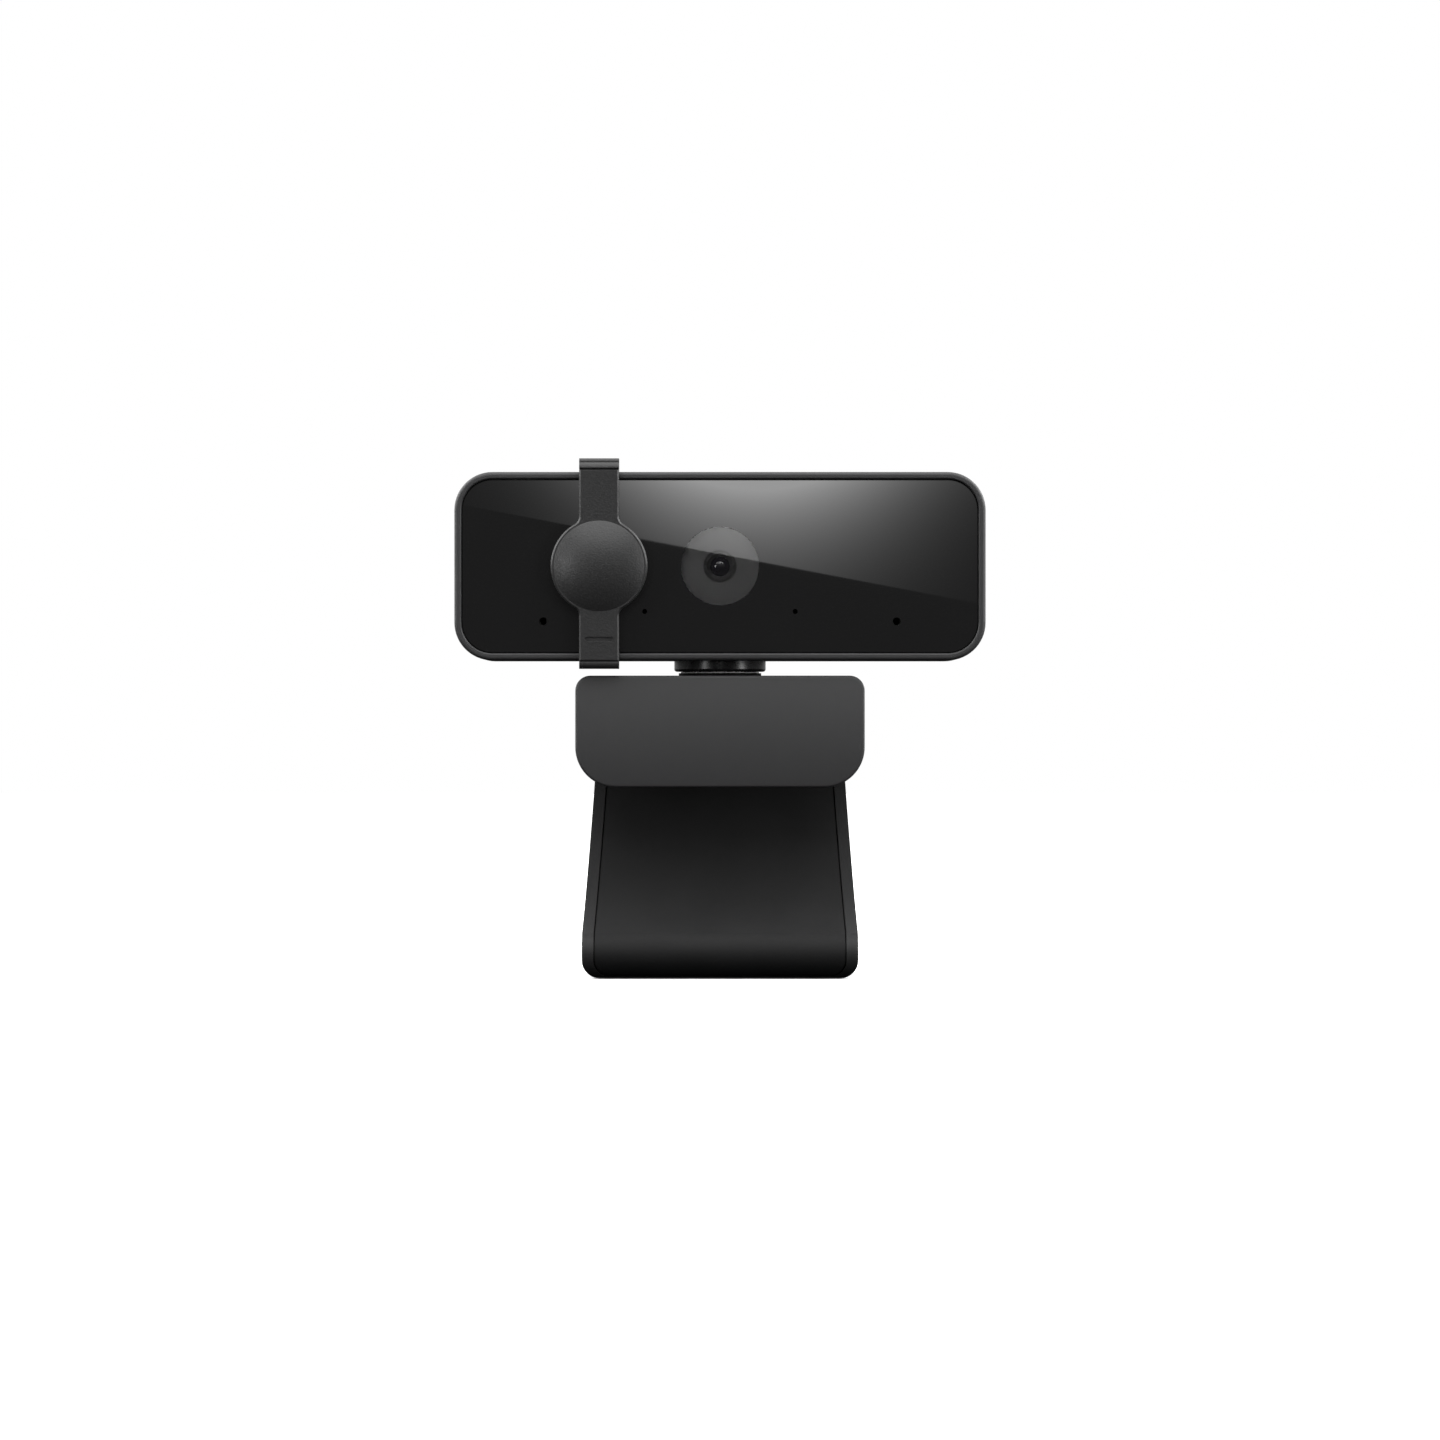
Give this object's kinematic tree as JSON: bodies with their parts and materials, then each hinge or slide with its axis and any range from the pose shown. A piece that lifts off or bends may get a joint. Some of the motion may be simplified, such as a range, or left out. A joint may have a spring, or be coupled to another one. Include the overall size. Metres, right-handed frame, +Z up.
{
  "type": "clip-on webcam",
  "caption": "Bar-shaped webcam with a sliding privacy cover, on a swivel neck and a hinged monitor clip whose curved leg is also its desk stand.",
  "frame": {"origin": "on the table under the pan axis, which is also the middle of the object's box", "axes": "+Z up, -Y is the way the lens looks, +X is to the right seen from in front"},
  "size_m": [0.095, 0.0324, 0.0931],
  "materials": {
    "shell_plastic": "fine moulded texture",
    "cover_plastic": "fine leather-like grain",
    "clip_plastic": "smooth matte",
    "leg_plastic": "fine moulded texture",
    "neck_plastic": "polished",
    "soft_panel": "satin, soft to the touch",
    "pad_rubber": "matte",
    "black_glass": "gloss, printed black behind, with a clear round window",
    "lens_glass": "coated",
    "filter_glass": "coated",
    "barrel_plastic": "anodised look, matte",
    "shroud_rubber": "matte",
    "clear_plastic": "clear",
    "board_laminate": "solder mask",
    "chip_epoxy": "matte",
    "connector_plastic": "natural",
    "ceramic_parts": "ceramic",
    "nickel": "nickel plated",
    "steel": "machined",
    "black_steel": "black zinc",
    "brass": "machined",
    "acetal": "natural",
    "tape": "adhesive foam",
    "felt": "black felt"
  },
  "bodies": {
    "head": {"front_shell": "shell_plastic", "rear_shell": "shell_plastic", "front_glass": "black_glass", "glass_tape": "tape", "cable_gland": "pad_rubber", "main_board": "board_laminate", "lens_holder": "barrel_plastic", "ir_filter": "filter_glass", "image_sensor": "chip_epoxy", "lens_barrel": "barrel_plastic", "front_lens": "lens_glass", "rear_lens": "lens_glass", "lens_spacer": "barrel_plastic", "lens_shroud": "shroud_rubber", "mic_boots": "pad_rubber", "mic_capsules": "nickel", "mic_felts": "felt", "light_pipes": "clear_plastic", "indicator_leds": "clear_plastic", "processor_chip": "chip_epoxy", "memory_chip": "chip_epoxy", "clock_crystal": "nickel", "cable_header": "connector_plastic", "chip_capacitors": "ceramic_parts", "board_screws": "steel", "case_screws": "black_steel", "swivel_collar": "neck_plastic", "pivot_bush": "acetal"},
    "clip": {"swivel_base": "neck_plastic", "friction_washer": "acetal", "pivot_stud": "steel", "pressure_washer": "steel", "wave_washer": "steel", "pivot_nut": "steel", "clip_bracket": "clip_plastic", "lip_pad": "pad_rubber", "arm_pad": "pad_rubber", "friction_sleeves": "brass"},
    "stand": {"leg_frame": "leg_plastic", "leg_panel": "soft_panel", "hinge_pin": "steel", "hinge_caps": "leg_plastic", "tripod_insert": "brass", "foot_pads": "pad_rubber"},
    "cover": {"privacy_cover": "cover_plastic"}
  },
  "joints": [
    {"name": "leg_fold", "type": "hinge", "parent": "stand", "child": "clip", "pos_m": [0, 0.012, 0.0498], "axis": [1, 0, 0], "range_deg": [-60, 35]},
    {"name": "head_pan", "type": "hinge", "parent": "clip", "child": "head", "pos_m": [0, 0, 0.057], "axis": [0, 0, 1], "continuous": true},
    {"name": "cover_slide", "type": "slide", "parent": "head", "child": "cover", "axis": [1, 0, 0], "range_m": [-0.0154, 0.0586]}
  ]
}
